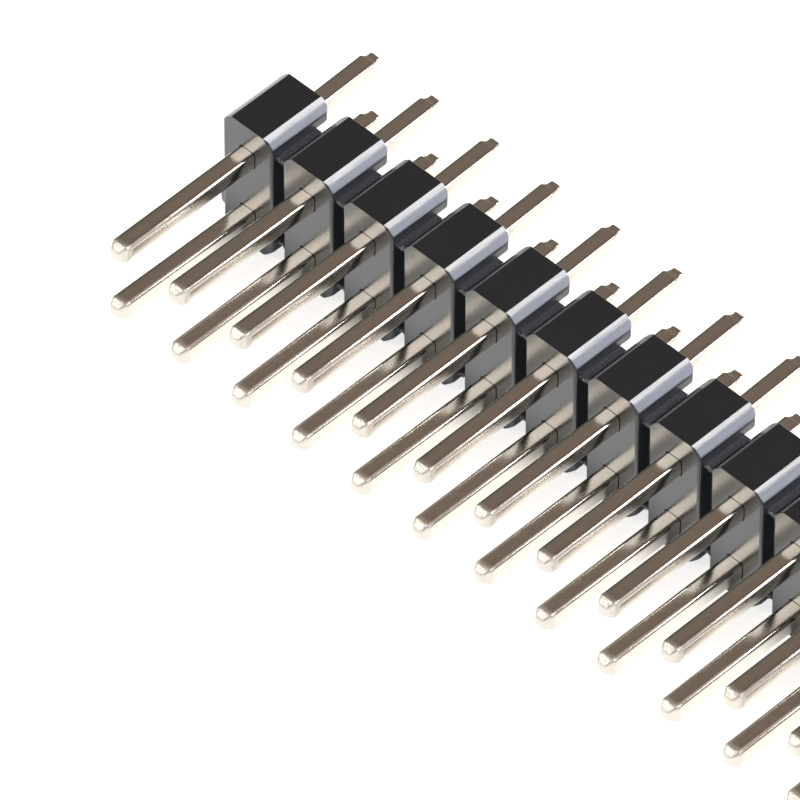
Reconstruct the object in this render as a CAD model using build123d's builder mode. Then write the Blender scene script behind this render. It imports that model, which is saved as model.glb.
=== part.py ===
# Double-row pin header strip, lying on its long side as it comes to rest.
# +X runs along the strip, -Y is the way the long mating pins point, and +Z is up.
# The origin is the middle of the strip's outer box, on the surface that it lies on.
from build123d import *

import os

# The grid of pins, in millimetres as all sizes here
columns = 20
pitch = 2.54
row_pitch = 2.54

# Moulded insulator: one eight-sided block for each column
block_width = 2.10
block_height = 5.08
block_depth = 2.50
long_edge_chamfer = 0.36
front_edge_round = 0.10
back_edge_round = 0.10
mouth_chamfer = 0.05

# Webs that join the blocks, set back from their fronts and reaching a little past the pins
web_front_setback = 0.20
web_past_pins = 0.28
web_edge_round = 0.08

# Channel along the solder side, which clears the pins and leaves a standoff rail each side
channel_depth = 0.60
channel_past_pins = 0.28
rail_edge_round = 0.18

# Nib of plastic left on the torn web where the strip was snapped off
nib_length = 0.12
nib_height = 0.50
nib_depth = 0.34
nib_round = 0.06

# Square pins, coined at both ends to a short taper with a small lip
pin_width = 0.64
pin_edge_round = 0.09
mating_length = 5.67
tail_length = 3.10
taper_length = 0.32
neck_width = 0.40
lip_width = 0.46
lip_length = 0.10
tip_edge_round = 0.05

# Places worked out from the sizes above
pin_length = mating_length + block_depth + tail_length
front_y = mating_length - pin_length / 2
back_y = front_y + block_depth
channel_y = back_y - channel_depth
web_front_y = front_y + web_front_setback
middle_z = block_height / 2
web_height = row_pitch + pin_width + 2 * web_past_pins
channel_height = row_pitch + pin_width + 2 * channel_past_pins
row_z = {"lower": middle_z - row_pitch / 2, "upper": middle_z + row_pitch / 2}
column_x = [(column - (columns - 1) / 2) * pitch for column in range(columns)]
torn_end_x = column_x[0] - pitch / 2


def across(y):
    """The plane at y that the pins cross: its own axes are +X and +Z, and it faces -Y."""
    return Plane.XZ.offset(-y)


os.makedirs("parts", exist_ok=True)

# One column of the insulator: its block, half a web at each side and two square holes
with BuildPart() as block:
    with BuildSketch(across(front_y)):
        with Locations((0, middle_z)):
            Rectangle(block_width, block_height)
        chamfer(vertices(), long_edge_chamfer)
    extrude(amount=-block_depth)

    # Its side outline has the channel between two rails, with every back corner rounded
    with BuildSketch(Plane.YZ):
        with Locations(((front_y + back_y) / 2, middle_z)):
            Rectangle(block_depth, block_height)
        with Locations((back_y - channel_depth / 2, middle_z)):
            Rectangle(channel_depth, channel_height, mode=Mode.SUBTRACT)
        back_corners = vertices().group_by(Axis.X)[-1].sort_by(Axis.Y)
        fillet(back_corners[1:-1], rail_edge_round)
        back_corners = vertices().group_by(Axis.X)[-1].sort_by(Axis.Y)
        fillet([back_corners[0], back_corners[-1]], back_edge_round)
    extrude(amount=block_width / 2, both=True, mode=Mode.INTERSECT)

    # The front is rounded down its sides and corners, and crisp along its top and bottom
    front_edges = block.edges().group_by(Axis.Y)[0]
    fillet(front_edges.filter_by(Axis.X, reverse=True), front_edge_round)

    # The webs end flush with the floor of the channel
    with BuildSketch(Plane.YZ):
        with Locations(((web_front_y + channel_y) / 2, middle_z)):
            Rectangle(channel_y - web_front_y, web_height)
        fillet(vertices().group_by(Axis.X)[0], web_edge_round)
    extrude(amount=pitch / 2, both=True)

    # The plastic grips each pin all round, so a hole is a pin's own size
    with BuildSketch(across(front_y)):
        with Locations((0, middle_z)):
            with GridLocations(pitch, row_pitch, 1, 2):
                RectangleRounded(pin_width, pin_width, pin_edge_round)
    extrude(amount=-block_depth, mode=Mode.SUBTRACT)

    # The holes' mouths are eased at the front and at the floor of the channel
    faces_by_y = block.faces().filter_by(Axis.Y).group_by(Axis.Y)
    mouths = faces_by_y[0][0].inner_wires() + faces_by_y[-2][0].inner_wires()
    chamfer([edge for mouth in mouths for edge in mouth.edges()], mouth_chamfer)

# The whole insulator, which is one moulding: its columns in a row, each at its pitch
with BuildPart() as insulator:
    with Locations(*[(x, 0, 0) for x in column_x]):
        add(block.part)

    # The nib stands out from the lower front corner of the web at the snapped end
    with BuildSketch(Plane.YZ.offset(torn_end_x)):
        with Locations((web_front_y, middle_z - web_height / 2)):
            Rectangle(nib_depth, nib_height, align=Align.MIN)
    extrude(amount=-nib_length)
    nib_outline = insulator.edges().group_by(Axis.X)[0]
    fillet(nib_outline, nib_round)

insulator.part.label = "insulator"
export_step(insulator.part, "parts/insulator.step")

# A pin about the origin, made as half a length and mirrored for its other end
with BuildPart() as pin_blank:
    shoulder = pin_length / 2 - taper_length - lip_length
    with BuildSketch(across(0)):
        RectangleRounded(pin_width, pin_width, pin_edge_round)
    extrude(amount=shoulder)

    # The taper runs down to a neck, and the lip spreads again from it
    with BuildSketch(across(-shoulder)):
        RectangleRounded(pin_width, pin_width, pin_edge_round)
    with BuildSketch(across(-shoulder - taper_length)):
        RectangleRounded(neck_width, neck_width, tip_edge_round)
    loft()
    with BuildSketch(across(-shoulder - taper_length)):
        RectangleRounded(neck_width, neck_width, tip_edge_round)
    with BuildSketch(across(-pin_length / 2)):
        RectangleRounded(lip_width, lip_width, tip_edge_round)
    loft()
    mirror(about=Plane.XZ)

# Forty pins, each a piece of its own, named for its row and numbered from the torn end
for row, z in row_z.items():
    for number, x in enumerate(column_x, start=1):
        with BuildPart() as pin:
            with Locations((x, 0, z)):
                add(pin_blank.part)
        pin.part.label = f"{row}_pin_{number:02d}"
        export_step(pin.part, f"parts/{pin.part.label}.step")
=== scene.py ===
import math
import random

import bmesh
import bpy
from mathutils import Matrix, Vector, noise


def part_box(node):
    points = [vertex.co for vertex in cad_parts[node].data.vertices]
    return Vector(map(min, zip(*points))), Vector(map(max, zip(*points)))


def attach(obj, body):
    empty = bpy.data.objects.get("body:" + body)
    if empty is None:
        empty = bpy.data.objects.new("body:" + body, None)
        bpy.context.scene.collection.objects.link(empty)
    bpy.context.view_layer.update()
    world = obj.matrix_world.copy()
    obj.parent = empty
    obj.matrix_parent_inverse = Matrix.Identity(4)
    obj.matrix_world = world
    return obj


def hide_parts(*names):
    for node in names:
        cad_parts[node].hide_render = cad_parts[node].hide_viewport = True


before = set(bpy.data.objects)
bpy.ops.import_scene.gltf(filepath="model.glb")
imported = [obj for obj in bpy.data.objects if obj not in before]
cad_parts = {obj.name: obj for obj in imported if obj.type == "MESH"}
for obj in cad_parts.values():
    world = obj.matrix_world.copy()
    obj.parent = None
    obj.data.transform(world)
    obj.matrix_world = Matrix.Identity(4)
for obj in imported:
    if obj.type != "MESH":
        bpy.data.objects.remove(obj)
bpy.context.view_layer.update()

MM = 0.001


def box_in_mm(node):
    """A CAD node's lowest and highest corners, in millimetres."""
    return [Vector(corner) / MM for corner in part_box(node)]


def middle(node):
    """The middle of a CAD node's box, in millimetres."""
    low, high = box_in_mm(node)
    return (low + high) / 2


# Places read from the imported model. They and all sizes here are in millimetres, and MM makes them metres
ROWS = ("lower", "upper")
COLUMNS = sum(name.startswith("upper_pin_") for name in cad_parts)
FIRST_COLUMN_X = middle("upper_pin_01").x
PITCH = middle("upper_pin_02").x - FIRST_COLUMN_X
TORN_END_X = FIRST_COLUMN_X - PITCH / 2
ROW_Z = {row: middle(row + "_pin_01").z for row in ROWS}
MIDDLE_Z = (ROW_Z["lower"] + ROW_Z["upper"]) / 2
BODY_LOW, BODY_HIGH = box_in_mm("insulator")
FRONT_Y = BODY_LOW.y
BACK_Y = BODY_HIGH.y
BODY_TOP = BODY_HIGH.z
PIN_LOW, PIN_HIGH = box_in_mm("upper_pin_01")
MATING_TIP_Y = PIN_LOW.y
TAIL_TIP_Y = PIN_HIGH.y
PIN_WIDTH = PIN_HIGH.z - PIN_LOW.z


def linear(hex_colour, alpha=1.0):
    """An sRGB hex colour as the linear values that a shader takes."""
    channels = [int(hex_colour[place:place + 2], 16) / 255 for place in (1, 3, 5)]
    return [c / 12.92 if c <= 0.04045 else ((c + 0.055) / 1.055) ** 2.4 for c in channels] + [alpha]


def add_node(tree, kind, inputs=None, **settings):
    """Adds a node with its settings. An input is a value, or the socket that feeds it.
    A Mix node mixes numbers by its inputs 2 and 3, and colours by its inputs 6 and 7, to its output 2."""
    node = tree.nodes.new(kind)
    for name, value in settings.items():
        setattr(node, name, value)
    for name, value in (inputs or {}).items():
        if isinstance(value, bpy.types.NodeSocket):
            tree.links.new(value, node.inputs[name])
        else:
            node.inputs[name].default_value = value
    return node


# Camera: a long lens that looks down on the snapped end of the strip
CAMERA_AZIMUTH = math.radians(44.57)
CAMERA_ELEVATION = math.radians(47.46)
CAMERA_DISTANCE = 424.0
CAMERA_LENS = 639.6
CAMERA_SENSOR = 36.0
CAMERA_NEAREST = 10.0
CAMERA_TARGET = Vector((-15.4, FRONT_Y, 3.0))
CAMERA_PAN = (-1.627, -2.253)


def make_camera():
    """Stands the camera off its target, panned along its own right and up."""
    sin_a, cos_a = math.sin(CAMERA_AZIMUTH), math.cos(CAMERA_AZIMUTH)
    sin_e, cos_e = math.sin(CAMERA_ELEVATION), math.cos(CAMERA_ELEVATION)
    right = Vector((cos_a, sin_a, 0))
    back = Vector((sin_a * cos_e, -cos_a * cos_e, sin_e))
    up = back.cross(right)
    place = CAMERA_TARGET + CAMERA_PAN[0] * right + CAMERA_PAN[1] * up + CAMERA_DISTANCE * back
    lens = bpy.data.cameras.new("camera")
    lens.lens = CAMERA_LENS
    lens.sensor_width = CAMERA_SENSOR
    lens.clip_start = CAMERA_NEAREST * MM
    camera = bpy.data.objects.new("camera", lens)
    bpy.context.scene.collection.objects.link(camera)
    turn = Matrix((right, up, back)).transposed().to_4x4()
    camera.matrix_world = Matrix.Translation(place * MM) @ turn
    bpy.context.scene.camera = camera


# Studio: a white floor and surroundings, a key softbox, a tall window and the unlit side of the room
WHITE = (1.0, 1.0, 1.0, 1.0)
LAMP_DISTANCE = 360.0

# Each softbox: its direction from the strip, its width and height, its radiance and its colour
SOFTBOXES = {
    "key_softbox": ((-0.46, -0.49, 0.74), 110, 110, 9.0, "#fffcf7"),
    "window_upper": ((0.45, 0.48, 0.75), 150, 160, 12.5, "#f8f8fc"),
    "window_lower": ((0.77, 0.48, 0.40), 150, 150, 5.5, "#e2e7fb"),
}

# The floor, with the light that it adds for the camera alone
FLOOR_WIDTH = 6000.0
FLOOR_COLOUR = "#f4f3f1"
FLOOR_GLOW_TO_CAMERA = 0.75

# The floor's brightness in the gloss, a glow with a painted shadow beneath the blocks, and how far beneath
# and outside the blocks the painted shadow changes it
FLOOR_IN_GLOSS_UNDER_PAINTED_SHADOW = 0.30
FLOOR_IN_GLOSS_OPEN = 1.7
FLOOR_PAINTED_SHADOW_OUTSIDE = 1.6
FLOOR_PAINTED_SHADOW_BENEATH = FLOOR_PAINTED_SHADOW_OUTSIDE / 3

# The room's light, its ceiling, and the tones of its unlit side from the far left, 0, to the far right, 1
ROOM_LIGHT = "#83776f"
CEILING_TONE = "#bdb9b4"
UNLIT_TONES = {0.0: "#4b4e49", 0.12: "#5c5e57", 0.20: "#807b71", 0.27: "#8c8077", 0.36: "#8a7267",
               0.44: "#40342e"}

# Where the left, the back and the ceiling fade in, by how far a ray points along X, Y and Z
FADE_IN = {"X": (0.0, -0.12), "Y": (-0.45, 0.05), "Z": (0.40, 0.70)}


def make_softbox(name, direction, width, height, radiance, colour):
    """An area lamp that faces the strip. Its power is worked out from how bright its cloth looks."""
    lamp = bpy.data.lights.new(name, "AREA")
    lamp.shape = "RECTANGLE"
    lamp.size = width * MM
    lamp.size_y = height * MM
    lamp.energy = radiance * math.pi * lamp.size * lamp.size_y
    lamp.color = linear(colour)[:3]
    box = bpy.data.objects.new(name, lamp)
    bpy.context.scene.collection.objects.link(box)
    direction = Vector(direction).normalized()
    box.location = (CAMERA_TARGET + direction * LAMP_DISTANCE) * MM
    box.rotation_euler = direction.to_track_quat("Z", "Y").to_euler()
    box.visible_camera = False


def kinds_of_ray(tree):
    """Two sockets that are 1 for a ray from the camera, and for one by way of gloss or glass."""
    path = add_node(tree, "ShaderNodeLightPath")
    by_gloss = add_node(tree, "ShaderNodeMath", {
        0: path.outputs["Is Glossy Ray"], 1: path.outputs["Is Transmission Ray"]}, operation="MAXIMUM")
    return path.outputs["Is Camera Ray"], by_gloss.outputs[0]


def make_floor():
    """A white tabletop that keeps the strip's shadow. A glow for the camera alone turns the rest white."""
    half = FLOOR_WIDTH / 2 * MM
    mesh = bpy.data.meshes.new("floor")
    mesh.from_pydata([(x, y, 0) for x, y in rectangle(-half, half, -half, half)], [], [(0, 1, 2, 3)])
    floor = bpy.data.objects.new("floor", mesh)
    bpy.context.scene.collection.objects.link(floor)
    material, tree, output = new_material("white_tabletop")
    from_camera, by_gloss = kinds_of_ray(tree)
    matt = add_node(tree, "ShaderNodeBsdfDiffuse", {"Color": linear(FLOOR_COLOUR)})
    glow = add_node(tree, "ShaderNodeMath", {0: from_camera, 1: FLOOR_GLOW_TO_CAMERA}, operation="MULTIPLY")
    lift = add_node(tree, "ShaderNodeEmission", {"Color": WHITE, "Strength": glow.outputs[0]})
    seen = add_node(tree, "ShaderNodeAddShader", {0: matt.outputs[0], 1: lift.outputs[0]})

    # In the gloss the floor is a glow of plain white, with a painted shadow that makes it dimmer near the
    # blocks and beneath them
    coordinates = add_node(tree, "ShaderNodeTexCoord")
    from_blocks = add_node(tree, "ShaderNodeMapping", {
        "Vector": coordinates.outputs["Object"], "Location": (0, -(FRONT_Y + BACK_Y) / 2 * MM, 0)})
    beside = add_node(tree, "ShaderNodeVectorMath", {0: from_blocks.outputs[0]}, operation="ABSOLUTE")
    outside = add_node(tree, "ShaderNodeVectorMath", {
        0: beside.outputs[0], 1: (-TORN_END_X * MM, (BACK_Y - FRONT_Y) / 2 * MM, 0)}, operation="SUBTRACT")
    away = add_node(tree, "ShaderNodeSeparateXYZ", {0: outside.outputs[0]})
    farther = add_node(tree, "ShaderNodeMath", {
        0: away.outputs["X"], 1: away.outputs["Y"]}, operation="MAXIMUM")
    white = add_node(tree, "ShaderNodeMapRange", {
        "Value": farther.outputs[0],
        "From Min": -FLOOR_PAINTED_SHADOW_BENEATH * MM, "From Max": FLOOR_PAINTED_SHADOW_OUTSIDE * MM,
        "To Min": FLOOR_IN_GLOSS_UNDER_PAINTED_SHADOW, "To Max": FLOOR_IN_GLOSS_OPEN}, interpolation_type="SMOOTHSTEP")
    gloss_glow_with_painted_shadow = add_node(tree, "ShaderNodeEmission", {"Color": WHITE, "Strength": white.outputs[0]})
    surface = add_node(tree, "ShaderNodeMixShader", {0: by_gloss, 1: seen.outputs[0], 2: gloss_glow_with_painted_shadow.outputs[0]})
    tree.links.new(surface.outputs[0], output.inputs["Surface"])
    mesh.materials.append(material)


def make_world():
    """Surroundings that are white to the camera and a warm gray as light. In the gloss they are white
    under a pale gray ceiling, but for the unlit side, which is left of the strip and behind it."""
    world = bpy.data.worlds.new("studio")
    bpy.context.scene.world = world
    world.use_nodes = True
    tree = world.node_tree
    tree.nodes.clear()
    from_camera, by_gloss = kinds_of_ray(tree)
    direction = add_node(tree, "ShaderNodeTexCoord").outputs["Generated"]
    axes = add_node(tree, "ShaderNodeSeparateXYZ", {0: direction})
    along = add_node(tree, "ShaderNodeMapRange", {
        "Value": axes.outputs["X"], "From Min": -1.0, "From Max": 1.0})
    tones = add_node(tree, "ShaderNodeValToRGB", {"Fac": along.outputs[0]})
    stops = tones.color_ramp.elements
    stops.remove(stops[1])
    for number, (place, colour) in enumerate(UNLIT_TONES.items()):
        stop = stops[0] if number == 0 else stops.new(place)
        stop.position = place
        stop.color = linear(colour)

    faded = {}
    for axis, (start, full) in FADE_IN.items():
        faded[axis] = add_node(tree, "ShaderNodeMapRange", {
            "Value": axes.outputs[axis], "From Min": start, "From Max": full},
            interpolation_type="SMOOTHSTEP")
    left, behind, overhead = faded["X"], faded["Y"], faded["Z"]
    unlit = add_node(tree, "ShaderNodeMath", {0: left.outputs[0], 1: behind.outputs[0]}, operation="MULTIPLY")
    walls = add_node(tree, "ShaderNodeMix", {
        0: overhead.outputs[0], 6: WHITE, 7: linear(CEILING_TONE)}, data_type="RGBA")
    in_gloss = add_node(tree, "ShaderNodeMix", {
        0: unlit.outputs[0], 6: walls.outputs[2], 7: tones.outputs["Color"]}, data_type="RGBA")
    lit = add_node(tree, "ShaderNodeMix", {
        0: by_gloss, 6: linear(ROOM_LIGHT), 7: in_gloss.outputs[2]}, data_type="RGBA")
    seen = add_node(tree, "ShaderNodeMix", {0: from_camera, 6: lit.outputs[2], 7: WHITE}, data_type="RGBA")
    light = add_node(tree, "ShaderNodeBackground", {"Color": seen.outputs[2], "Strength": 1.0})
    add_node(tree, "ShaderNodeOutputWorld", {"Surface": light.outputs[0]})


# Materials
def new_material(name):
    """An empty node material, its tree and its output node."""
    material = bpy.data.materials.new(name)
    material.use_nodes = True
    material.node_tree.nodes.clear()
    return material, material.node_tree, add_node(material.node_tree, "ShaderNodeOutputMaterial")


def grains(across, along=None):
    """The scale of a Mapping node for grains of this size in millimetres, with their length along Y."""
    return [1 / (size * MM) for size in (across, along or across, across)]


# The moulded plastic: where its parts begin, by the slant of the surface or by the place, and its finishes.
# The real fibres are about 0.01 mm thick, and the grain and streaks are as coarse as they need to be to show
SHOULDER_SLANT = (0.15, 0.40)
SIDE_SLANT = (0.76, 0.92)
WEB_FADE = 0.01
PALE_END = (0.20, 0.06)
PLASTIC_GRAIN = 0.05
PLASTIC_STREAK = (0.04, 0.9)
PLASTIC_CLOUD = 0.9
PLASTIC_RELIEF = 0.012
POLISHED_ROUGHNESS = (0.14, 0.26)
STREAKED_ROUGHNESS = (0.10, 0.26)
RUBBED_ROUGHNESS = 0.42
BLACKS = ("#13171a", "#1c2024")
# The blacks of the scuffed sides and webs, whose paler gray is partly a painted sheen
RUBBED_AND_SHEEN_BLACKS = ("#17191d", "#3a3e48")
# The gray of the webs' specks: bare short fibre, and partly a painted glint
FIBRE_AND_GLINT_GRAY = "#6f727a"
PALE_END_GRAY = "#85878c"


def make_plastic():
    """Glass-filled polyester, moulded in a polished tool: black, with a gloss that mirrors what is near.
    Its shoulders have fine streaks from the tool's cutter, its sides and webs are scuffed matt in a paler
    gray that is partly a painted sheen, its webs' pale speckle is short fibre and partly a painted glint, and
    near the snapped end it is paler."""
    material, tree, output = new_material("glass_filled_polyester_moulded")
    surface = add_node(tree, "ShaderNodeNewGeometry")
    facing = add_node(tree, "ShaderNodeSeparateXYZ", {0: surface.outputs["Normal"]})
    slant = add_node(tree, "ShaderNodeMath", {
        0: facing.outputs["X"], 1: facing.outputs["Z"]}, operation="MULTIPLY")
    slanted = add_node(tree, "ShaderNodeMath", {0: slant.outputs[0]}, operation="ABSOLUTE")
    shoulder = add_node(tree, "ShaderNodeMapRange", {
        "Value": slanted.outputs[0], "From Min": SHOULDER_SLANT[0], "From Max": SHOULDER_SLANT[1]})
    sideways = add_node(tree, "ShaderNodeMath", {0: facing.outputs["X"]}, operation="ABSOLUTE")
    side = add_node(tree, "ShaderNodeMapRange", {
        "Value": sideways.outputs[0], "From Min": SIDE_SLANT[0], "From Max": SIDE_SLANT[1]})

    # A web is what lies more than a block's half width from the middle of its column. One is at x = 0
    coordinates = add_node(tree, "ShaderNodeTexCoord")
    place = add_node(tree, "ShaderNodeSeparateXYZ", {0: coordinates.outputs["Object"]})
    from_web = add_node(tree, "ShaderNodeMath", {
        0: place.outputs["X"], 1: PITCH / 2 * MM}, operation="PINGPONG")
    from_column = add_node(tree, "ShaderNodeMath", {
        0: PITCH / 2 * MM, 1: from_web.outputs[0]}, operation="SUBTRACT")
    web = add_node(tree, "ShaderNodeMapRange", {
        "Value": from_column.outputs[0],
        "From Min": (BLOCK_WIDTH / 2 - WEB_FADE) * MM, "From Max": (BLOCK_WIDTH / 2 + WEB_FADE) * MM})
    past_end = add_node(tree, "ShaderNodeMapRange", {
        "Value": place.outputs["X"],
        "From Min": (TORN_END_X + PALE_END[0]) * MM, "From Max": (TORN_END_X + PALE_END[1]) * MM})

    # Patterns
    fine = add_node(tree, "ShaderNodeMapping", {
        "Vector": coordinates.outputs["Object"], "Scale": grains(PLASTIC_GRAIN)})
    long = add_node(tree, "ShaderNodeMapping", {
        "Vector": coordinates.outputs["Object"], "Scale": grains(*PLASTIC_STREAK)})
    broad = add_node(tree, "ShaderNodeMapping", {
        "Vector": coordinates.outputs["Object"], "Scale": grains(PLASTIC_CLOUD)})
    grain = add_node(tree, "ShaderNodeTexNoise", {"Vector": fine.outputs[0], "Scale": 1.0, "Detail": 3.0})
    streak = add_node(tree, "ShaderNodeTexNoise", {"Vector": long.outputs[0], "Scale": 1.0, "Detail": 3.0})
    speckle = add_node(tree, "ShaderNodeTexNoise", {"Vector": fine.outputs[0], "Scale": 1.1, "Detail": 1.0})
    cloud = add_node(tree, "ShaderNodeTexNoise", {"Vector": broad.outputs[0], "Scale": 1.0, "Detail": 2.0})

    # Gloss
    plain = add_node(tree, "ShaderNodeMapRange", {
        "Value": grain.outputs["Fac"], "To Min": POLISHED_ROUGHNESS[0], "To Max": POLISHED_ROUGHNESS[1]})
    streaky = add_node(tree, "ShaderNodeMapRange", {
        "Value": streak.outputs["Fac"], "From Min": 0.3, "From Max": 0.7,
        "To Min": STREAKED_ROUGHNESS[0], "To Max": STREAKED_ROUGHNESS[1]})
    rough = add_node(tree, "ShaderNodeMix", {
        0: shoulder.outputs[0], 2: plain.outputs[0], 3: streaky.outputs[0]})
    matt = add_node(tree, "ShaderNodeMath", {0: side.outputs[0], 1: web.outputs[0]}, operation="MAXIMUM")
    rougher = add_node(tree, "ShaderNodeMix", {0: matt.outputs[0], 2: rough.outputs[0], 3: RUBBED_ROUGHNESS})

    # Relief
    height = add_node(tree, "ShaderNodeMix", {
        0: shoulder.outputs[0], 2: grain.outputs["Fac"], 3: streak.outputs["Fac"]})
    heights = add_node(tree, "ShaderNodeMix", {
        0: web.outputs[0], 2: height.outputs[0], 3: speckle.outputs["Fac"]})
    depth = add_node(tree, "ShaderNodeMapRange", {"Value": web.outputs[0], "To Min": 0.12, "To Max": 0.9})
    bump = add_node(tree, "ShaderNodeBump", {
        "Height": heights.outputs[0], "Strength": depth.outputs[0], "Distance": PLASTIC_RELIEF * MM})

    # Colour
    shade_of_black = add_node(tree, "ShaderNodeMix", {
        0: cloud.outputs["Fac"], 6: linear(BLACKS[0]), 7: linear(BLACKS[1])}, data_type="RGBA")
    # The sides and webs are a paler gray: scuffed plastic, and partly a painted sheen
    rubbed_and_painted_sheen = add_node(tree, "ShaderNodeMix", {
        0: streak.outputs["Fac"], 6: linear(RUBBED_AND_SHEEN_BLACKS[0]), 7: linear(RUBBED_AND_SHEEN_BLACKS[1])}, data_type="RGBA")
    worn_and_painted_sheen = add_node(tree, "ShaderNodeMix", {
        0: matt.outputs[0], 6: shade_of_black.outputs[2], 7: rubbed_and_painted_sheen.outputs[2]}, data_type="RGBA")
    # The webs' pale specks are bare short fibre, and partly a painted glint
    fibre_and_glint_specks = add_node(tree, "ShaderNodeMapRange", {
        "Value": speckle.outputs["Fac"], "From Min": 0.60, "From Max": 0.70})
    bare_fibre_and_glint_specks = add_node(tree, "ShaderNodeMath", {
        0: fibre_and_glint_specks.outputs[0], 1: web.outputs[0]}, operation="MULTIPLY")
    speckled = add_node(tree, "ShaderNodeMix", {
        0: bare_fibre_and_glint_specks.outputs[0], 6: worn_and_painted_sheen.outputs[2], 7: linear(FIBRE_AND_GLINT_GRAY)}, data_type="RGBA")
    colour = add_node(tree, "ShaderNodeMix", {
        0: past_end.outputs[0], 6: speckled.outputs[2], 7: linear(PALE_END_GRAY)}, data_type="RGBA")
    shader = add_node(tree, "ShaderNodeBsdfPrincipled", {
        "Base Color": colour.outputs[2], "Roughness": rougher.outputs[0], "IOR": 1.7,
        "Normal": bump.outputs[0]})
    tree.links.new(shader.outputs[0], output.inputs["Surface"])
    return material


# The torn plastic
TORN_GRAIN = 0.05
TORN_RELIEF = 0.01
TORN_GRAYS = ("#3a3c40", "#a5a8ad")


def make_torn_plastic():
    """The same polyester where it tore as it left the tool: gray from stress, dull, with no skin."""
    material, tree, output = new_material("glass_filled_polyester_torn")
    coordinates = add_node(tree, "ShaderNodeTexCoord")
    fine = add_node(tree, "ShaderNodeMapping", {
        "Vector": coordinates.outputs["Object"], "Scale": grains(TORN_GRAIN)})
    grain = add_node(tree, "ShaderNodeTexNoise", {"Vector": fine.outputs[0], "Scale": 1.0, "Detail": 2.0})
    colour = add_node(tree, "ShaderNodeMix", {
        0: grain.outputs["Fac"], 6: linear(TORN_GRAYS[0]), 7: linear(TORN_GRAYS[1])}, data_type="RGBA")
    bump = add_node(tree, "ShaderNodeBump", {
        "Height": grain.outputs["Fac"], "Strength": 0.6, "Distance": TORN_RELIEF * MM})
    shader = add_node(tree, "ShaderNodeBsdfPrincipled", {
        "Base Color": colour.outputs[2], "Roughness": 0.55, "IOR": 1.6, "Normal": bump.outputs[0]})
    tree.links.new(shader.outputs[0], output.inputs["Surface"])
    return material


# The plating: widths and lengths of its patterns, its finish, and how far from the long end its tip begins.
# The real drawing lines are finer, and these are as coarse as they need to be to show
DRAWN_LINE = (0.03, 2.5)
DULL_SPOT = (0.14, 0.35)
SPOT_SHARE = 0.45
TIP_DIMPLE = 0.09
PLATING_RELIEF = 0.02
PLATING_ROUGHNESS = (0.14, 0.20)
TIP_ROUGHNESS = 0.42
DULL_TIP = (0.5, 0.3)
NICKEL_TONES = ("#c4beb4", "#dbd3c9")


def make_plating():
    """Nickel-plated brass wire, drawn square: warm gray metal with fine lengthwise lines and small dull
    spots. The coined tip of its long end is duller than the rest."""
    material, tree, output = new_material("nickel_plated_brass_drawn")
    coordinates = add_node(tree, "ShaderNodeTexCoord")
    drawn = add_node(tree, "ShaderNodeMapping", {
        "Vector": coordinates.outputs["Object"], "Scale": grains(*DRAWN_LINE)})
    patchy = add_node(tree, "ShaderNodeMapping", {
        "Vector": coordinates.outputs["Object"], "Scale": grains(*DULL_SPOT)})
    sheared = add_node(tree, "ShaderNodeMapping", {
        "Vector": coordinates.outputs["Object"], "Scale": grains(TIP_DIMPLE)})
    lines = add_node(tree, "ShaderNodeTexNoise", {"Vector": drawn.outputs[0], "Scale": 1.0, "Detail": 3.0})
    spots = add_node(tree, "ShaderNodeTexNoise", {"Vector": patchy.outputs[0], "Scale": 1.0, "Detail": 3.0})
    dimples = add_node(tree, "ShaderNodeTexNoise", {
        "Vector": sheared.outputs[0], "Scale": 1.0, "Detail": 2.0})
    place = add_node(tree, "ShaderNodeSeparateXYZ", {0: coordinates.outputs["Object"]})
    tip = add_node(tree, "ShaderNodeMapRange", {
        "Value": place.outputs["Y"],
        "From Min": (MATING_TIP_Y + DULL_TIP[0]) * MM, "From Max": (MATING_TIP_Y + DULL_TIP[1]) * MM})

    mixed = add_node(tree, "ShaderNodeMix", {0: SPOT_SHARE, 2: lines.outputs["Fac"], 3: spots.outputs["Fac"]})
    rough = add_node(tree, "ShaderNodeMapRange", {
        "Value": mixed.outputs[0], "From Min": 0.3, "From Max": 0.7,
        "To Min": PLATING_ROUGHNESS[0], "To Max": PLATING_ROUGHNESS[1]})
    dull = add_node(tree, "ShaderNodeMix", {0: tip.outputs[0], 2: rough.outputs[0], 3: TIP_ROUGHNESS})
    relief = add_node(tree, "ShaderNodeMix", {
        0: tip.outputs[0], 2: lines.outputs["Fac"], 3: dimples.outputs["Fac"]})
    strength = add_node(tree, "ShaderNodeMapRange", {"Value": tip.outputs[0], "To Min": 0.01, "To Max": 0.8})
    bump = add_node(tree, "ShaderNodeBump", {
        "Height": relief.outputs[0], "Strength": strength.outputs[0], "Distance": PLATING_RELIEF * MM})
    colour = add_node(tree, "ShaderNodeMix", {
        0: spots.outputs["Fac"], 6: linear(NICKEL_TONES[0]), 7: linear(NICKEL_TONES[1])}, data_type="RGBA")
    shader = add_node(tree, "ShaderNodeBsdfPrincipled", {
        "Base Color": colour.outputs[2], "Metallic": 1.0, "Roughness": dull.outputs[0],
        "Normal": bump.outputs[0]})
    tree.links.new(shader.outputs[0], output.inputs["Surface"])
    return material


# Trees of Geometry Nodes and what they grow
def new_tree(name, inputs):
    """A Geometry Nodes tree with one geometry in and out, and these named inputs: socket kind by name."""
    tree = bpy.data.node_groups.new(name, "GeometryNodeTree")
    tree.interface.new_socket("Geometry", in_out="INPUT", socket_type="NodeSocketGeometry")
    tree.interface.new_socket("Geometry", in_out="OUTPUT", socket_type="NodeSocketGeometry")
    for title, kind in inputs.items():
        tree.interface.new_socket(title, in_out="INPUT", socket_type="NodeSocket" + kind)
    return tree, add_node(tree, "NodeGroupInput").outputs, add_node(tree, "NodeGroupOutput")


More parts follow.
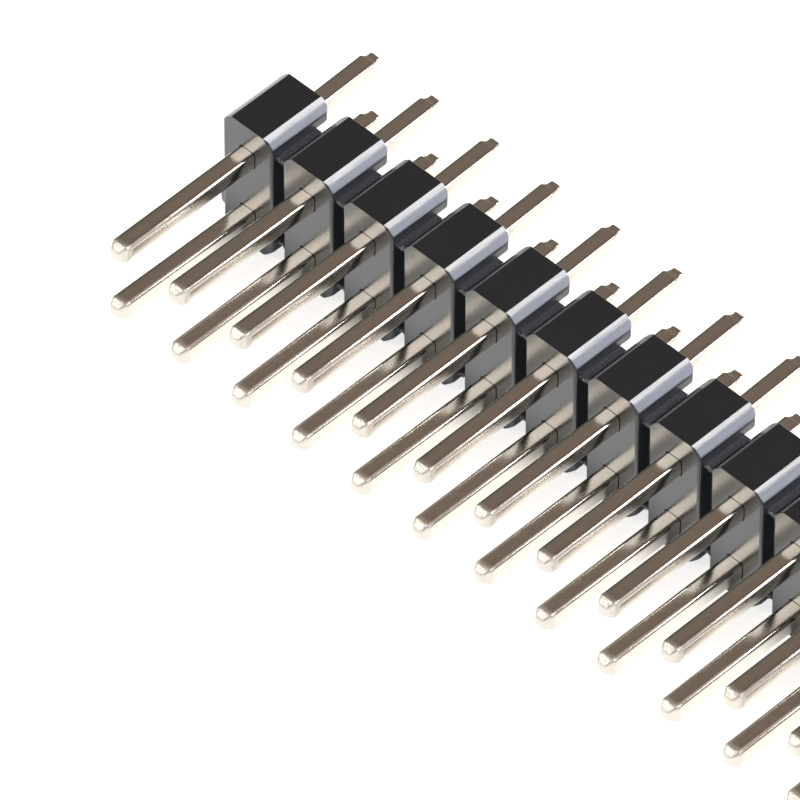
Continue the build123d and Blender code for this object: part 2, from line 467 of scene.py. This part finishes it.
def grow(mesh, tree, values):
    """Runs a tree on a mesh with these input values, and gives the result as a plain mesh."""
    holder = bpy.data.objects.new("holder", mesh)
    bpy.context.scene.collection.objects.link(holder)
    modifier = holder.modifiers.new("grow", "NODES")
    modifier.node_group = tree
    for title, value in values.items():
        modifier[tree.interface.items_tree[title].identifier] = value
    return baked(holder)


def baked(holder):
    """The evaluated mesh of an object, which is then removed with its modifiers."""
    depsgraph = bpy.context.evaluated_depsgraph_get()
    result = bpy.data.meshes.new_from_object(holder.evaluated_get(depsgraph), depsgraph=depsgraph)
    bpy.data.objects.remove(holder)
    return result


def new_piece(name, mesh, material, node):
    """Puts a finished mesh, drawn in millimetres, in the scene in place of a CAD node."""
    mesh.transform(Matrix.Scale(MM, 4))
    mesh.name = name
    mesh.materials.clear()
    mesh.materials.append(material)
    piece = bpy.data.objects.new(name, mesh)
    bpy.context.scene.collection.objects.link(piece)
    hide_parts(node)
    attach(piece, "root")


# Insulator: each column is a block whose front, side and top outlines cross, with a web on each side
BLOCK_WIDTH = 2.10
SHOULDER_WIDTH = 0.38
SHOULDER_START = math.radians(33)
SHOULDER_BEND = math.radians(52)
SHOULDER_BEND_RADIUS = 0.18
SHOULDER_STEPS = 7
FRONT_ROUND = 0.10
FRONT_ROUND_STEPS = 5
BACK_CORNER_ROUND = 0.24
BACK_EDGE_ROUND = 0.03
WEB_SETBACK = 0.20
WEB_HOLLOW = 0.52
WEB_LIP = 0.12
WEB_HEIGHT = 3.74
WEB_ROUND = 0.04
CHANNEL_DEPTH = 0.60
CHANNEL_HEIGHT = WEB_HEIGHT
RAIL_ROUND = 0.18
HOLE_ROUND = 0.09
MOUTH_GAP = 0.02
MOUTH_DEPTH = 0.03

# Points nearer than this are the same, and an outline that only cuts runs this far past what it cuts
TOUCHING = 0.0005
SPARE = 1.0


def rounded(corners, radii, steps=6):
    """The outline through these corners, each turned by an arc of its own radius."""
    outline = []
    for number, (corner, radius) in enumerate(zip(corners, radii)):
        here = Vector(corner)
        to_last = (Vector(corners[number - 1]) - here).normalized()
        to_next = (Vector(corners[(number + 1) % len(corners)]) - here).normalized()
        half_angle = to_last.angle(to_next) / 2
        if radius == 0:
            outline.append(here)
            continue
        centre = here + (to_last + to_next).normalized() * radius / math.sin(half_angle)
        start = here + to_last * radius / math.tan(half_angle) - centre
        turn = math.pi - 2 * half_angle
        outline += [centre + Matrix.Rotation(turn * step / steps, 2) @ start for step in range(steps + 1)]
    return outline


def rectangle(left, right, low, high):
    """The four corners, anticlockwise."""
    return [(left, low), (right, low), (right, high), (left, high)]


def loft(axis, stations):
    """A closed solid through outlines that face this axis, each at its own place along it."""
    turn = {"X": lambda a, b, along: (along, a, b),
            "Y": lambda a, b, along: (a, along, b),
            "Z": lambda a, b, along: (a, b, along)}[axis]
    shape = bmesh.new()
    rings = [[shape.verts.new(turn(a, b, along)) for a, b in outline] for along, outline in stations]
    shape.faces.new(rings[0])
    shape.faces.new(rings[-1])
    for near, far in zip(rings, rings[1:]):
        for number in range(len(near)):
            shape.faces.new((near[number - 1], near[number], far[number], far[number - 1]))
    bmesh.ops.recalc_face_normals(shape, faces=shape.faces)
    mesh = bpy.data.meshes.new("loft")
    shape.to_mesh(mesh)
    shape.free()
    return mesh


def prism(outline, axis, low, high):
    """A closed solid of one outline, from low to high along the axis that it faces."""
    return loft(axis, [(low, outline), (high, outline)])


def combine(mesh, tool, operation):
    """Joins, cuts or crosses two closed meshes: UNION, DIFFERENCE or INTERSECT."""
    holder, other = (bpy.data.objects.new("holder", part) for part in (mesh, tool))
    for part in (holder, other):
        bpy.context.scene.collection.objects.link(part)
    cut = holder.modifiers.new("cut", "BOOLEAN")
    cut.operation = operation
    cut.solver = "EXACT"
    cut.object = other
    result = baked(holder)
    bpy.data.objects.remove(other)
    return result


def toward(angle):
    """The direction in the XZ plane that leans this far from straight up."""
    return Vector((math.sin(angle), math.cos(angle)))


def front_outline(inset):
    """The block seen from the front, its sides moved in by this much and its shoulders narrower by as much.
    A shoulder leaves the flat top at an angle, in a broad arc, and a tighter arc turns it to the side."""
    start_x = BLOCK_WIDTH / 2 - SHOULDER_WIDTH
    start, bend = toward(SHOULDER_START), toward(SHOULDER_BEND)
    radius = (SHOULDER_WIDTH - SHOULDER_BEND_RADIUS * (1 - bend.x)) / (bend.x - start.x)
    centre = Vector((start_x, BODY_TOP)) - radius * start
    bend_centre = centre + (radius - SHOULDER_BEND_RADIUS) * bend
    shoulder = []
    for step in range(2 * SHOULDER_STEPS + 1):
        part = step / SHOULDER_STEPS
        if step < SHOULDER_STEPS:
            place = centre + radius * toward(SHOULDER_START + (SHOULDER_BEND - SHOULDER_START) * part)
        else:
            turned = SHOULDER_BEND + (math.pi / 2 - SHOULDER_BEND) * (part - 1)
            place = bend_centre + SHOULDER_BEND_RADIUS * toward(turned)
        shoulder.append((start_x + (place.x - start_x) * (1 - inset / SHOULDER_WIDTH), place.y))
    upper_half = [(-x, z) for x, z in reversed(shoulder)] + shoulder
    return upper_half + [(-x, BODY_TOP - z) for x, z in upper_half]


def faces_at(shape, x):
    """The faces that lie square across the strip at this place along it."""
    return {face for face in shape.faces if all(abs(corner.co.x - x) < TOUCHING for corner in face.verts)}


def make_block():
    """One column of the insulator at x = 0, open where its webs meet the next columns' webs."""
    half = BLOCK_WIDTH / 2
    stations = []
    for step in range(FRONT_ROUND_STEPS + 1):
        turn = math.pi / 2 * step / FRONT_ROUND_STEPS
        inset = FRONT_ROUND * (1 - math.sin(turn))
        stations.append((FRONT_Y + FRONT_ROUND * (1 - math.cos(turn)), front_outline(inset)))
    channel_y = BACK_Y - CHANNEL_DEPTH
    low, high = MIDDLE_Z - CHANNEL_HEIGHT / 2, MIDDLE_Z + CHANNEL_HEIGHT / 2
    side_outline = rounded(
        [(FRONT_Y - SPARE, 0), (BACK_Y, 0), (BACK_Y, low), (channel_y, low),
         (channel_y, high), (BACK_Y, high), (BACK_Y, BODY_TOP), (FRONT_Y - SPARE, BODY_TOP)],
        [0, BACK_EDGE_ROUND, RAIL_ROUND, 0, 0, RAIL_ROUND, BACK_EDGE_ROUND, 0])
    top_outline = rounded(rectangle(-half, half, FRONT_Y - SPARE, BACK_Y),
                          [0, 0, BACK_CORNER_ROUND, BACK_CORNER_ROUND])
    block = loft("Y", stations + [(BACK_Y + SPARE, front_outline(0))])
    block = combine(block, prism(side_outline, "X", -half - SPARE, half + SPARE), "INTERSECT")
    block = combine(block, prism(top_outline, "Z", -SPARE, BODY_TOP + SPARE), "INTERSECT")

    # A web is hollowed along its front, which leaves a thin lip at its top and its bottom
    lip_y, hollow_y = FRONT_Y + WEB_SETBACK, FRONT_Y + WEB_HOLLOW
    low, high = MIDDLE_Z - WEB_HEIGHT / 2, MIDDLE_Z + WEB_HEIGHT / 2
    web_outline = rounded(
        [(lip_y, low), (channel_y, low), (channel_y, high), (lip_y, high),
         (lip_y, high - WEB_LIP), (hollow_y, high - 2 * WEB_LIP),
         (hollow_y, low + 2 * WEB_LIP), (lip_y, low + WEB_LIP)],
        [WEB_ROUND, 0, 0, WEB_ROUND, 0, 0, 0, 0], steps=4)
    block = combine(block, prism(web_outline, "X", -PITCH / 2, PITCH / 2), "UNION")

    # The pins' holes go right through, and each mouth at the front is a hair wider than its pin
    for row in ROWS:
        for width, start, end in ((PIN_WIDTH, FRONT_Y - SPARE, BACK_Y + SPARE),
                                  (PIN_WIDTH + 2 * MOUTH_GAP, FRONT_Y - SPARE, FRONT_Y + MOUTH_DEPTH)):
            hole = rectangle(-width / 2, width / 2, ROW_Z[row] - width / 2, ROW_Z[row] + width / 2)
            hole = rounded(hole, [HOLE_ROUND] * len(hole), steps=3)
            block = combine(block, prism(hole, "Y", start, end), "DIFFERENCE")

    shape = bmesh.new()
    shape.from_mesh(block)
    bmesh.ops.remove_doubles(shape, verts=shape.verts, dist=TOUCHING)
    ends = faces_at(shape, -PITCH / 2) | faces_at(shape, PITCH / 2)
    bmesh.ops.delete(shape, geom=list(ends), context="FACES")
    shape.to_mesh(block)
    shape.free()
    return block


def strip_tree():
    """Repeats the block at each column, and welds each web to the next."""
    tree, given, result = new_tree("row_of_blocks", {
        "Columns": "Int", "Pitch": "Float", "First Column": "Float", "Weld Distance": "Float",
        "Material": "Material"})
    start = add_node(tree, "ShaderNodeCombineXYZ", {"X": given["First Column"]})
    step = add_node(tree, "ShaderNodeCombineXYZ", {"X": given["Pitch"]})
    places = add_node(tree, "GeometryNodeMeshLine", {
        "Count": given["Columns"], "Start Location": start.outputs[0], "Offset": step.outputs[0]})
    blocks = add_node(tree, "GeometryNodeInstanceOnPoints", {
        "Points": places.outputs[0], "Instance": given["Geometry"]})
    solid = add_node(tree, "GeometryNodeRealizeInstances", {"Geometry": blocks.outputs[0]})
    welded = add_node(tree, "GeometryNodeMergeByDistance", {
        "Geometry": solid.outputs[0], "Distance": given["Weld Distance"]})
    painted = add_node(tree, "GeometryNodeSetMaterial", {
        "Geometry": welded.outputs[0], "Material": given["Material"]})
    tree.links.new(painted.outputs[0], result.inputs[0])
    return tree


# Snapped ends: rough faces where the webs broke. Each end has its place and how much shorter it tore
TEARS = ((TORN_END_X, 0.12), (-TORN_END_X, 0.0))
TEAR_ROUNDS = 5
TEAR_STEP = 0.13
TEAR_DEPTH = 0.09
TEAR_GRAIN = 0.28
TEAR_GAIN = 2

# The tear's noise: how fast its layers weaken, how much finer each one is, and how many there are
TEAR_FRACTAL = (1.0, 2.0, 3)

# The nib: its lowest corner and size, how square it is, and how deep and how many its lumps are
NIB_LOW = (TORN_END_X - 0.12, FRONT_Y + WEB_SETBACK, MIDDLE_Z - WEB_HEIGHT / 2)
NIB_SIZE = (0.34, 0.34, 0.50)
NIB_SQUARENESS = 0.5
NIB_LUMP = 0.10
NIB_LUMPS_ACROSS = 3.0


def tear_ends(mesh):
    """Closes both open webs with a rough face. The first one tore nearer to its block, but for the nib."""
    shape = bmesh.new()
    shape.from_mesh(mesh)
    for end_x, shortfall in TEARS:
        rim = [edge for edge in shape.edges
               if edge.is_boundary and all(abs(corner.co.x - end_x) < TOUCHING for corner in edge.verts)]
        bmesh.ops.triangle_fill(shape, use_beauty=True, edges=rim, use_dissolve=False)
        for _ in range(TEAR_ROUNDS):
            faces = faces_at(shape, end_x)
            inside = [edge for edge in {edge for face in faces for edge in face.edges}
                      if edge.calc_length() > TEAR_STEP and all(face in faces for face in edge.link_faces)]
            bmesh.ops.subdivide_edges(shape, edges=inside, cuts=1)
            bmesh.ops.triangulate(shape, faces=list(faces_at(shape, end_x)))
        faces = faces_at(shape, end_x)
        for corner in {corner for face in faces for corner in face.verts}:
            dip = shortfall
            if all(face in faces for face in corner.link_faces):
                rough = abs(noise.fractal(corner.co / TEAR_GRAIN, *TEAR_FRACTAL))
                dip += min(rough * TEAR_GAIN, 1.0) * TEAR_DEPTH
            corner.co.x -= math.copysign(dip, end_x)
    bmesh.ops.recalc_face_normals(shape, faces=shape.faces)
    shape.to_mesh(mesh)
    shape.free()


def make_nib():
    """The lump of plastic that stands out of the first web's lower front corner.
    A ball in a box one wide is squared and made lumpy, and then the box takes the nib's place and size."""
    shape = bmesh.new()
    bmesh.ops.create_icosphere(shape, subdivisions=3, radius=0.5)
    for corner in shape.verts:
        boxy = Vector([math.copysign(abs(2 * part) ** NIB_SQUARENESS / 2, part) for part in corner.co])
        boxy *= 1 + NIB_LUMP * noise.noise(corner.co * NIB_LUMPS_ACROSS)
        boxy = Vector([max(-0.5, min(0.5, part)) for part in boxy])
        corner.co = [low + size * (part + 0.5) for low, size, part in zip(NIB_LOW, NIB_SIZE, boxy)]
    mesh = bpy.data.meshes.new("nib")
    shape.to_mesh(mesh)
    shape.free()
    return mesh


# A face is square to an axis if its normal, one long, reaches this far along it
SQUARE_TO_AXIS = 0.9999


def shade(mesh, sharp_angle, plain_sides=False):
    """Smooth shading with sharp edges kept. Plain sides square to an axis are shaded flat."""
    mesh.set_sharp_from_angle(angle=math.radians(sharp_angle))
    for face in mesh.polygons:
        square = max(abs(part) for part in face.normal) > SQUARE_TO_AXIS
        face.use_smooth = not (plain_sides and square)


def make_insulator(material):
    """The row of blocks with both ends torn and the nib on the first one."""
    mesh = grow(make_block(), strip_tree(), {
        "Columns": COLUMNS, "Pitch": PITCH, "First Column": FIRST_COLUMN_X, "Weld Distance": 2 * TOUCHING,
        "Material": material})
    tear_ends(mesh)
    mesh = combine(mesh, make_nib(), "UNION")
    shade(mesh, sharp_angle=32, plain_sides=True)
    new_piece("moulded_insulator", mesh, material, "insulator")


# Flash: crumbs of torn plastic along the front lips of the webs, where the halves of the tool met
CRUMBS_PER_LIP = 15
CRUMB_SIZE = (0.04, 0.11)
CRUMB_SCATTER = 0.04
CRUMB_SEED = 4


def flash_tree():
    """Scatters uneven crumbs on the points of the given mesh."""
    tree, given, result = new_tree("web_flash", {
        "Smallest": "Float", "Largest": "Float", "Scatter": "Float", "Seed": "Int", "Material": "Material"})
    opposite = add_node(tree, "ShaderNodeMath", {0: given["Scatter"], 1: -1.0}, operation="MULTIPLY")
    shift = add_node(tree, "FunctionNodeRandomValue", {
        "Min": opposite.outputs[0], "Max": given["Scatter"], "Seed": given["Seed"]}, data_type="FLOAT_VECTOR")
    spread = add_node(tree, "GeometryNodeSetPosition", {
        "Geometry": given["Geometry"], "Offset": shift.outputs["Value"]})
    sizes = add_node(tree, "FunctionNodeRandomValue", {
        "Min": given["Smallest"], "Max": given["Largest"], "Seed": given["Seed"]}, data_type="FLOAT_VECTOR")
    turns = add_node(tree, "FunctionNodeRandomValue", {
        "Max": (math.tau, math.tau, math.tau), "Seed": given["Seed"]}, data_type="FLOAT_VECTOR")
    crumb = add_node(tree, "GeometryNodeMeshIcoSphere", {"Radius": 0.5, "Subdivisions": 1})
    crumbs = add_node(tree, "GeometryNodeInstanceOnPoints", {
        "Points": spread.outputs[0], "Instance": crumb.outputs["Mesh"], "Rotation": turns.outputs["Value"],
        "Scale": sizes.outputs["Value"]})
    solid = add_node(tree, "GeometryNodeRealizeInstances", {"Geometry": crumbs.outputs[0]})
    painted = add_node(tree, "GeometryNodeSetMaterial", {
        "Geometry": solid.outputs[0], "Material": given["Material"]})
    tree.links.new(painted.outputs[0], result.inputs[0])
    return tree


def make_flash(material):
    """Crumbs on the top and bottom lip of each whole web, evenly spaced before they are scattered."""
    gap = PITCH - BLOCK_WIDTH
    places = []
    for web in range(1, COLUMNS):
        for z in (MIDDLE_Z - WEB_HEIGHT / 2 + WEB_LIP / 2, MIDDLE_Z + WEB_HEIGHT / 2 - WEB_LIP / 2):
            for crumb in range(CRUMBS_PER_LIP):
                x = TORN_END_X + web * PITCH + gap * ((crumb + 0.5) / CRUMBS_PER_LIP - 0.5)
                places.append((x, FRONT_Y + WEB_SETBACK, z))
    row = bpy.data.meshes.new("lip_points")
    row.from_pydata(places, [], [])
    mesh = grow(row, flash_tree(), {
        "Smallest": CRUMB_SIZE[0], "Largest": CRUMB_SIZE[1], "Scatter": CRUMB_SCATTER, "Seed": CRUMB_SEED,
        "Material": material})
    shade(mesh, sharp_angle=20)
    new_piece("web_flash", mesh, material, "insulator")


# Pins: one square wire each, coined at both ends, with tips as uneven as a blunt tool leaves them
CROWN_POWER = 6.0
RING_POINTS = 48
PIN_SEED = 8

# Dents in the tips: where they begin from the end, their depth, how they fade in, and how wide they are
TIP_ZONE = 0.34
CRUMPLE = 0.05
CRUMPLE_REACH = 0.16
CRUMPLE_GRAIN = 0.20

# Each tip's profile from its end inwards: the distance from the end and half the wire's width there
MATING_TIP = (
    (0.0, 0.07), (0.006, 0.12), (0.022, 0.165), (0.05, 0.197), (0.09, 0.224),
    (0.14, 0.252), (0.19, 0.28), (0.23, 0.302), (0.26, 0.314), (0.28, 0.32))
TAIL_TIP = (
    (0.0, 0.09), (0.008, 0.14), (0.025, 0.18), (0.055, 0.205), (0.10, 0.214), (0.16, 0.210),
    (0.22, 0.222), (0.30, 0.253), (0.38, 0.29), (0.43, 0.313), (0.46, 0.32))

# How far the long ends lean at most, two of them as measured, and how far each tail leans
LEAN = 0.035
MEASURED_LEANS = {"upper_pin_01": 0.045, "upper_pin_02": -0.05}
TAIL_LEAN = Vector((-0.06, 0.0, 0.06))


def pin_spine():
    """The pin's middle line along Y, with the wire's half width at each of its points."""
    mating = [(MATING_TIP_Y + along, width) for along, width in MATING_TIP]
    body = [(FRONT_Y, PIN_WIDTH / 2), (BACK_Y, PIN_WIDTH / 2)]
    tail = [(TAIL_TIP_Y - along, width) for along, width in reversed(TAIL_TIP)]
    stations = mating + body + tail
    mesh = bpy.data.meshes.new("pin_spine")
    mesh.from_pydata([(0, y, 0) for y, _ in stations], [(n, n + 1) for n in range(len(stations) - 1)], [])
    half_width = mesh.attributes.new("half_width", "FLOAT", "POINT")
    half_width.data.foreach_set("value", [width for _, width in stations])
    return mesh


def pin_tree():
    """Sweeps a crowned square along the spine, crumples both tips, leans both ends and puts it in place."""
    tree, given, result = new_tree("coined_pin", {
        "Ring Points": "Int", "Crown Power": "Float", "Shoulder": "Float", "Front": "Float", "Back": "Float",
        "Crumple": "Float", "Crumple Reach": "Float", "Crumple Grain": "Float", "Seed": "Float",
        "Lean": "Vector", "Tail Lean": "Vector", "Place": "Vector", "Material": "Material"})
    position = add_node(tree, "GeometryNodeInputPosition").outputs[0]

    # A superellipse is a square with faces that are barely crowned and edges that are softly rounded
    circle = add_node(tree, "GeometryNodeCurvePrimitiveCircle", {
        "Resolution": given["Ring Points"], "Radius": 1.0})
    power = add_node(tree, "ShaderNodeMath", {0: 2.0, 1: given["Crown Power"]}, operation="DIVIDE")
    powers = add_node(tree, "ShaderNodeCombineXYZ", {"X": power.outputs[0], "Y": power.outputs[0], "Z": 1.0})
    side = add_node(tree, "ShaderNodeVectorMath", {0: position}, operation="SIGN")
    away = add_node(tree, "ShaderNodeVectorMath", {0: position}, operation="ABSOLUTE")
    squared = add_node(tree, "ShaderNodeVectorMath", {
        0: away.outputs[0], 1: powers.outputs[0]}, operation="POWER")
    corner = add_node(tree, "ShaderNodeVectorMath", {
        0: squared.outputs[0], 1: side.outputs[0]}, operation="MULTIPLY")
    ring = add_node(tree, "GeometryNodeSetPosition", {
        "Geometry": circle.outputs[0], "Position": corner.outputs[0]})
    half_width = add_node(tree, "GeometryNodeInputNamedAttribute", {"Name": "half_width"}, data_type="FLOAT")
    spine = add_node(tree, "GeometryNodeMeshToCurve", {"Mesh": given["Geometry"]})
    wire = add_node(tree, "GeometryNodeCurveToMesh", {
        "Curve": spine.outputs[0], "Profile Curve": ring.outputs[0], "Scale": half_width.outputs[0],
        "Fill Caps": True})

    # Past the shoulder the tool leaves uneven dents across the wire
    place = add_node(tree, "ShaderNodeSeparateXYZ", {0: position})
    from_middle = add_node(tree, "ShaderNodeMath", {0: place.outputs["Y"]}, operation="ABSOLUTE")
    past = add_node(tree, "ShaderNodeMath", {
        0: from_middle.outputs[0], 1: given["Shoulder"]}, operation="SUBTRACT")
    tip = add_node(tree, "ShaderNodeMapRange", {
        "Value": past.outputs[0], "From Min": 0.0, "From Max": given["Crumple Reach"]})
    grain = add_node(tree, "ShaderNodeMath", {0: 1.0, 1: given["Crumple Grain"]}, operation="DIVIDE")
    dents = add_node(tree, "ShaderNodeTexNoise", {
        "Vector": position, "W": given["Seed"], "Scale": grain.outputs[0], "Detail": 1.0},
        noise_dimensions="4D")
    dent = add_node(tree, "ShaderNodeVectorMath", {
        0: dents.outputs["Color"], 1: (0.5, 0.5, 0.5)}, operation="SUBTRACT")
    depth = add_node(tree, "ShaderNodeMath", {0: tip.outputs[0], 1: given["Crumple"]}, operation="MULTIPLY")
    depths = add_node(tree, "ShaderNodeCombineXYZ", {"X": depth.outputs[0], "Z": depth.outputs[0]})
    dented = add_node(tree, "ShaderNodeVectorMath", {
        0: dent.outputs[0], 1: depths.outputs[0], 2: given["Place"]}, operation="MULTIPLY_ADD")

    # Outside the body each end of the wire leans a little
    ahead = add_node(tree, "ShaderNodeMath", {0: given["Front"], 1: place.outputs["Y"]}, operation="SUBTRACT")
    behind = add_node(tree, "ShaderNodeMath", {0: place.outputs["Y"], 1: given["Back"]}, operation="SUBTRACT")
    moved = dented
    for beyond, lean in ((ahead, given["Lean"]), (behind, given["Tail Lean"])):
        outside = add_node(tree, "ShaderNodeMath", {0: beyond.outputs[0], 1: 0.0}, operation="MAXIMUM")
        leaned = add_node(tree, "ShaderNodeVectorMath", {
            0: lean, "Scale": outside.outputs[0]}, operation="SCALE")
        moved = add_node(tree, "ShaderNodeVectorMath", {
            0: moved.outputs[0], 1: leaned.outputs[0]}, operation="ADD")
    placed = add_node(tree, "GeometryNodeSetPosition", {
        "Geometry": wire.outputs[0], "Offset": moved.outputs[0]})
    solid = add_node(tree, "GeometryNodeRealizeInstances", {"Geometry": placed.outputs[0]})
    painted = add_node(tree, "GeometryNodeSetMaterial", {
        "Geometry": solid.outputs[0], "Material": given["Material"]})
    tree.links.new(painted.outputs[0], result.inputs[0])
    return tree


def make_pins(material):
    """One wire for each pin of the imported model, with its own leans and dents."""
    draw = random.Random(PIN_SEED)
    spine, tree = pin_spine(), pin_tree()
    mating_length, tail_length = FRONT_Y - MATING_TIP_Y, TAIL_TIP_Y - BACK_Y
    for row in ROWS:
        for number in range(1, COLUMNS + 1):
            node = f"{row}_pin_{number:02d}"
            lean_x = MEASURED_LEANS.get(node, draw.uniform(-LEAN, LEAN)) / mating_length
            lean_z = draw.uniform(-LEAN, LEAN) / 2 / mating_length
            mesh = grow(spine, tree, {
                "Ring Points": RING_POINTS, "Crown Power": CROWN_POWER, "Shoulder": TAIL_TIP_Y - TIP_ZONE,
                "Front": FRONT_Y, "Back": BACK_Y, "Crumple": CRUMPLE, "Crumple Reach": CRUMPLE_REACH,
                "Crumple Grain": CRUMPLE_GRAIN, "Seed": draw.uniform(0, 99), "Lean": (lean_x, 0.0, lean_z),
                "Tail Lean": TAIL_LEAN / tail_length, "Place": (middle(node).x, 0.0, middle(node).z),
                "Material": material})
            shade(mesh, sharp_angle=40)
            new_piece("drawn_" + node, mesh, material, node)


bpy.context.scene.view_settings.view_transform = "Standard"
make_camera()
make_floor()
make_world()
for name, settings in SOFTBOXES.items():
    make_softbox(name, *settings)
make_insulator(make_plastic())
make_flash(make_torn_plastic())
make_pins(make_plating())
